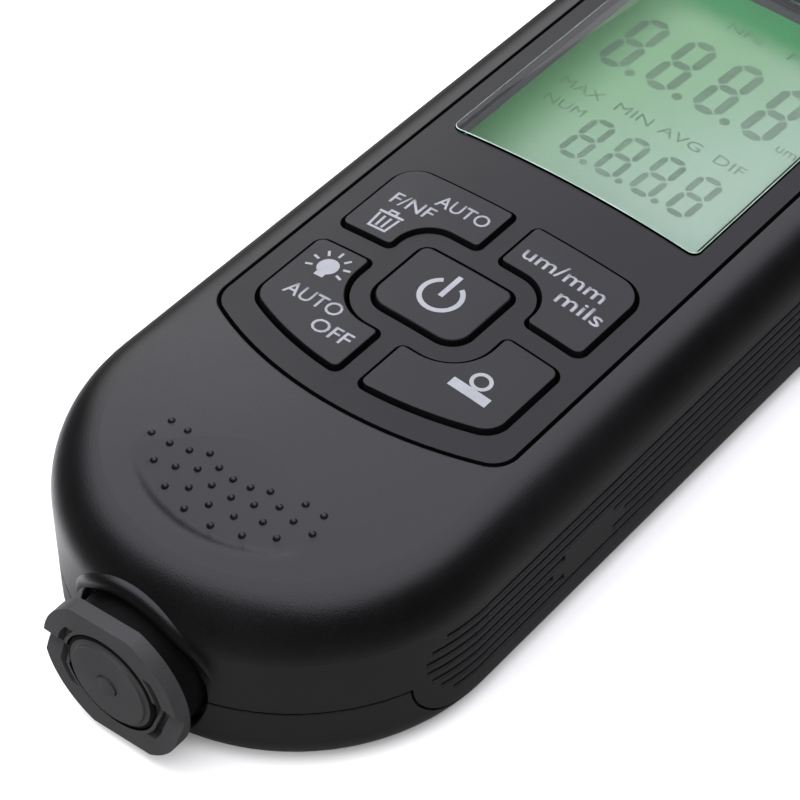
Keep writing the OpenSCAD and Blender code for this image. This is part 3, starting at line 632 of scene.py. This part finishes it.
def drawMode(bm):
    addLegendWords(bm, modeWords)
    x, y = basket["base"]
    rim, line = y + basket["height"], basket["line"]
    gripLow, gripHigh = (rim + up for up in basket["gripUp"])
    for side in (-1, 1):
        addBar(bm, (x + side * basket["bottom"], y), (x + side * basket["top"], rim), line)
        addBar(bm, (x + side * basket["rib"][0], y + basket["ribEnds"][0]),
               (x + side * basket["rib"][1], rim - basket["ribEnds"][1]), line)
        grip = x + side * basket["grip"]
        addBar(bm, (grip, gripLow), (grip, gripHigh), line)
    for half, level, thick in ((basket["bottom"] + line / 2, y, line),
                               (basket["lid"], rim + basket["lidUp"], basket["lidLine"]),
                               (basket["grip"] + line / 2, gripHigh, line)):
        addBar(bm, (x - half, level), (x + half, level), thick)


lightWords = (("AUTO", -15.4, -11.2, 8.5, 2.25), ("OFF", -8.65, -14.35, 5.75, 2.2))
bulb = {"centre": (-13.55, -4.7), "radius": 1.42, "neck": (-1.95, -0.9), "neckWide": 1.35,
        "rays": (-20, 16, 53, 90, 127, 164, 200), "rayFrom": 2.0, "rayTo": 2.95, "ray": 0.34}


def drawLight(bm):
    x, y = bulb["centre"]
    addDisc(bm, bulb["centre"], bulb["radius"])
    addBar(bm, (x, y + bulb["neck"][0]), (x, y + bulb["neck"][1]), bulb["neckWide"])
    for turn in bulb["rays"]:
        across, up = math.cos(math.radians(turn)), math.sin(math.radians(turn))
        addBar(bm, *((x + far * across, y + far * up) for far in (bulb["rayFrom"], bulb["rayTo"])),
               bulb["ray"])
    addLegendWords(bm, lightWords)


unitWords = (("um/mm", 3.55, 11.0, 12.0, 2.35), ("mils", 11.0, 7.7, 6.5, 2.4))


def drawUnit(bm):
    addLegendWords(bm, unitWords)


zeroMark = {"bar": ((9.9, -10.38), (15.35, -10.38)), "thick": 1.45, "ring": (12.75, -8.25),
            "radius": 1.17, "stroke": 0.5}


def drawZero(bm):
    addBar(bm, *zeroMark["bar"], zeroMark["thick"])
    addArc(bm, zeroMark["ring"], zeroMark["radius"], zeroMark["stroke"], 0, 360, 36)


for key, draw in (("power", drawPower), ("mode", drawMode), ("light", drawLight),
                  ("unit", drawUnit), ("zero", drawZero)):
    bm = bmesh.new()
    draw(bm)
    finishFlat(bm, "legend_" + key, mats["legendInk"], key + "_key", keypad["middle"],
               keypad["ink"], keyTop)
print("key legends printed")


# display marks, on the glass

display = {
    "ink": 0.02, "lift": 0.03, "gap": 0.2, "slant": 0.05, "digits": 4,
    "dot": {"back": 0.3, "up": 0.5, "share": 0.55},
    "big": {"left": -14.35, "pitch": 7.4, "base": 50.15, "wide": 4.6, "high": 11.9, "bar": 1.3},
    "small": {"left": -7.25, "pitch": 5.47, "base": 32.2, "wide": 3.7, "high": 8.8, "bar": 0.92},
    "words": (("MAX", -14.7, 43.4, 6.4, 1.75), ("MIN", -6.1, 43.4, 5.4, 1.75),
              ("AVG", 0.65, 43.4, 6.3, 1.75), ("DIF", 9.15, 43.4, 4.4, 1.75),
              ("NUM", -14.4, 39.4, 6.1, 1.65), ("NFe", -4.2, 66.15, 5.4, 1.55),
              ("Fe", 5.2, 66.15, 3.4, 1.55), ("um", 13.9, 50.4, 2.9, 1.2))}


def addSegment(bm, start, end, width):
    start, end = Vector((*start, 0)), Vector((*end, 0))
    along = (end - start).normalized()
    side = Vector((-along.y, along.x, 0)) * width / 2
    tip = along * width / 2
    corners = (start, start + tip - side, end - tip - side, end, end - tip + side,
               start + tip + side)
    bm.faces.new([bm.verts.new(c) for c in corners])


def addDigit(bm, left, size):
    bar, gap = size["bar"], display["gap"]
    w, h = size["wide"] - bar, size["high"] - bar
    x0, y0 = left + bar / 2, size["base"] + bar / 2
    mark = len(bm.verts)
    for level in (0, 0.5, 1):
        addSegment(bm, (x0 + gap, y0 + h * level), (x0 + w - gap, y0 + h * level), bar)
    for x in (x0, x0 + w):
        for low, high in ((0, 0.5), (0.5, 1)):
            addSegment(bm, (x, y0 + h * low + gap), (x, y0 + h * high - gap), bar)
    bm.verts.ensure_lookup_table()
    for v in bm.verts[mark:]:
        v.co.x += display["slant"] * (v.co.y - size["base"])


def drawDisplay(bm):
    dot = display["dot"]
    for size in (display["big"], display["small"]):
        for i in range(display["digits"]):
            left = size["left"] + i * size["pitch"]
            addDigit(bm, left, size)
            if i < display["digits"] - 1:
                between = left + (size["wide"] + size["pitch"]) / 2 - dot["back"]
                addDisc(bm, (between, size["base"] + dot["up"]), size["bar"] * dot["share"])
    for row in display["words"]:
        addWords(bm, *row)


def glassTop(x):
    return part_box("lcd_glass")[1].z / mm + display["lift"]


bm = bmesh.new()
drawDisplay(bm)
finishFlat(bm, "display_marks", mats["displaySegment"], "gauge", (0, padY),
           display["ink"], glassTop)
print("display marks laid")


# pale paper floor; in the case's reflections it shows painted reflections: bright close to its
# foot on the left, dim on the right and away from its foot

floorLook = {"half": 2.5, "dark": (0.9, 0.9, 0.9), "light": (0.93, 0.93, 0.93), "rough": 0.8,
             "gloss": 0.1, "far": (0.05, 0.05, 0.05), "left": (0.85, 0.85, 0.85),
             "right": (0.16, 0.16, 0.16), "straight": 44.2, "foot": (38.0, 75.0),
             "across": (-36.0, -16.0)}


def floorMaterial(look):
    mat, tree, shader = newMaterial("floorPaper")
    tint = noiseOf(tree, Scale=3.0, Detail=2.0).outputs["Fac"]
    join(tree, mixColour(tree, tint, look["dark"], look["light"]), shader.inputs["Base Color"])
    shader.inputs["Roughness"].default_value = look["rough"]
    shader.inputs["Specular IOR Level"].default_value = look["gloss"]
    axes = axesOf(tree)
    x, y = (mathOf(tree, "ABSOLUTE", axes[label]) for label in "XY")
    past = mathOf(tree, "MAXIMUM", mathOf(tree, "SUBTRACT", y, look["straight"] * mm), 0.0)
    away = mathOf(tree, "ADD", mathOf(tree, "POWER", x, 2.0), mathOf(tree, "POWER", past, 2.0))
    foot = rangeOf(tree, mathOf(tree, "SQRT", away), *(d * mm for d in look["foot"]), 1.0, 0.0)
    # painted reflection: the foot reads bright in the case's left walls and dim in its right walls
    across = rangeOf(tree, axes["X"], *(d * mm for d in look["across"]))
    close = mixColour(tree, across, look["left"], look["right"])
    dim = addNode(tree, "ShaderNodeBsdfDiffuse")
    join(tree, mixColour(tree, foot, look["far"], close), dim.inputs["Color"])
    swapForRay(tree, "Is Glossy Ray", shader, dim)
    return mat


bm = bmesh.new()
bmesh.ops.create_grid(bm, x_segments=8, y_segments=8, size=floorLook["half"])
addPiece(bm, "floor", floorMaterial(floorLook))


# studio light

studio = {
    "world": 0.025,
    "key": {"place": (-0.35, 0.46, 0.85), "aim": (-0.35, 0.46, 0), "size": (1.9, 1.78),
            "power": 20.6, "tint": (0.91, 0.89, 1.0), "gloss": True},
    "rim": {"place": (-0.85, 0.55, 0.36), "aim": (0, 0, 0.01), "size": (0.7, 0.5), "power": 1.7,
            "tint": (1, 1, 1), "gloss": True},
    "fill": {"place": (0.05, -0.75, 1.1), "aim": (0, 0, 0.01), "size": (2.4, 2.4), "power": 48.0,
             "tint": (1, 1, 1), "gloss": False}}  # the fill leaves no gloss on the case


def addSoftbox(name, light):
    area = bpy.data.lights.new(name, "AREA")
    area.shape, area.energy, area.color = "RECTANGLE", light["power"], light["tint"]
    area.size, area.size_y = light["size"]
    softbox = bpy.data.objects.new(name, area)
    softbox.location = light["place"]
    aim = Vector(light["aim"]) - Vector(light["place"])
    softbox.rotation_euler = aim.to_track_quat("-Z", "Y").to_euler()
    softbox.visible_glossy = light["gloss"]
    scene.collection.objects.link(softbox)


for name in ("key", "rim", "fill"):
    addSoftbox(name + "Softbox", studio[name])
world = bpy.data.worlds.new("studio")
world.use_nodes = True
sky = world.node_tree.nodes["Background"]
sky.inputs["Color"].default_value = (1, 1, 1, 1)
sky.inputs["Strength"].default_value = studio["world"]
scene.world = world
scene.view_settings.view_transform = "Standard"
print("studio lit")


# camera, fitted to the photo's edges

view = {"place": (0.14723785, -0.18895261 + padY * mm, 0.25996142),
        "right": (0.77380792, 0.63340688, 0.00412543),
        "up": (-0.46005665, 0.5575322, 0.69101789), "lens": 126.025, "sensor": 36,
        "nearest": 0.005}
cameraData = bpy.data.cameras.new("camera")
cameraData.lens, cameraData.sensor_width = view["lens"], view["sensor"]
cameraData.clip_start = view["nearest"]
camera = bpy.data.objects.new("camera", cameraData)
right, up = Vector(view["right"]).normalized(), Vector(view["up"]).normalized()
back = right.cross(up).normalized()
turn = Matrix((right, back.cross(right), back)).transposed().to_4x4()
camera.matrix_world = Matrix.Translation(view["place"]) @ turn
scene.collection.objects.link(camera)
scene.camera = camera

print("scene ready")
